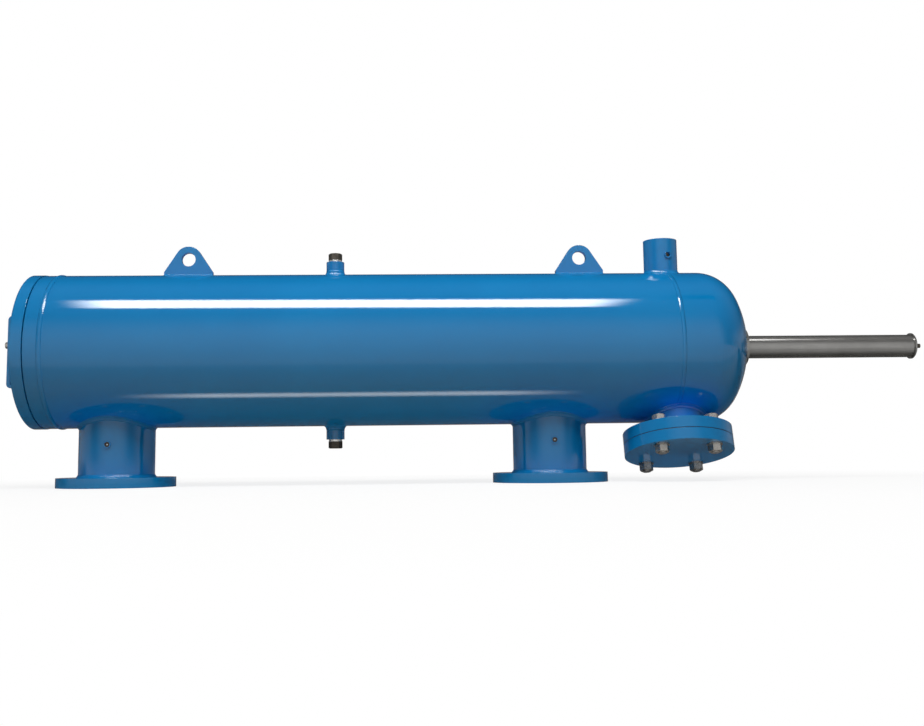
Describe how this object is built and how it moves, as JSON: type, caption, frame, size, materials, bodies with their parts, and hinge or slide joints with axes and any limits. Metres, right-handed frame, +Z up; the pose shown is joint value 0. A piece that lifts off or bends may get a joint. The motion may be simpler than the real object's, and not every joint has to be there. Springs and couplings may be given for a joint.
{
  "type": "self cleaning filter",
  "caption": "Horizontal self cleaning filter vessel with bottom flanged nozzles, dished head, hydraulic scanner cylinder, flush pipe, hand hole and lifting lugs.",
  "frame": {"origin": "centre of the inlet nozzle's flange face", "axes": "+X along the vessel from the inlet to the hydraulic cylinder, +Y to the back, +Z up; the vessel stands on its two nozzle flanges"},
  "size_m": [2.783, 0.4737, 0.7335],
  "materials": {
    "blue_paint": "glossy blue enamel on steel",
    "stainless": "satin stainless steel",
    "plated_steel": "dull zinc plated steel",
    "seal_ring_steel": "bright turned steel",
    "dark_iron": "dark brown-black iron",
    "rubber": "matt black rubber",
    "bronze": "turned bronze"
  },
  "bodies": {
    "vessel": {"shell": "blue_paint", "end_ring": "blue_paint", "dished_head": "blue_paint", "weld_beads": "blue_paint", "inlet_pipe": "blue_paint", "inlet_flange": "blue_paint", "outlet_pipe": "blue_paint", "outlet_flange": "blue_paint", "inlet_gauge_boss": "blue_paint", "outlet_gauge_boss": "blue_paint", "flush_pipe": "blue_paint", "flush_gauge_boss": "blue_paint", "hand_hole_neck": "blue_paint", "hand_hole_flange": "blue_paint", "hand_hole_blind": "blue_paint", "vent_coupling": "blue_paint", "drain_coupling": "blue_paint", "lifting_lug_left": "blue_paint", "lifting_lug_right": "blue_paint", "coarse_screen": "stainless", "fine_screen": "stainless", "screen_cage": "stainless", "cylinder_hub": "stainless", "cylinder_tube": "stainless", "cylinder_end_cap": "stainless", "hand_hole_bolts": "plated_steel", "hand_hole_washers": "plated_steel", "hand_hole_nuts": "plated_steel", "inlet_bulkhead": "plated_steel", "rotor_bulkhead": "plated_steel", "tail_spider": "plated_steel", "vent_ring": "seal_ring_steel", "drain_ring": "seal_ring_steel", "vent_plug": "dark_iron", "drain_plug": "dark_iron", "inlet_gauge_plug": "dark_iron", "outlet_gauge_plug": "dark_iron", "end_cap_fitting": "dark_iron", "hand_hole_gasket": "rubber", "screen_seals": "rubber", "gland_seals": "rubber", "end_cap_seal": "rubber", "collector_bush": "bronze", "tail_bush": "bronze", "gland_bush": "bronze"},
    "cover": {"cover": "blue_paint", "cover_seal": "rubber", "cover_handle": "blue_paint", "cover_vent_screw": "plated_steel"},
    "carriage": {"piston_rod": "plated_steel", "piston": "bronze", "piston_seal": "rubber", "piston_nut": "plated_steel"},
    "scanner": {"collector_tube": "stainless", "tail_pin": "plated_steel", "suction_nozzles": "stainless", "hydraulic_rotor": "stainless", "rotor_jets": "stainless", "swivel_cap": "plated_steel"}
  },
  "joints": [
    {"name": "cover_turn", "type": "hinge", "parent": "vessel", "child": "cover", "pos_m": [-0.246, 0, 0.402], "axis": [-1, 0, 0], "range_deg": [0, 30]},
    {"name": "scanner_travel", "type": "slide", "parent": "vessel", "child": "carriage", "axis": [1, 0, 0], "range_m": [0, 0.24]},
    {"name": "scanner_spin", "type": "hinge", "parent": "carriage", "child": "scanner", "pos_m": [1.6, 0, 0.402], "axis": [1, 0, 0], "continuous": true}
  ]
}
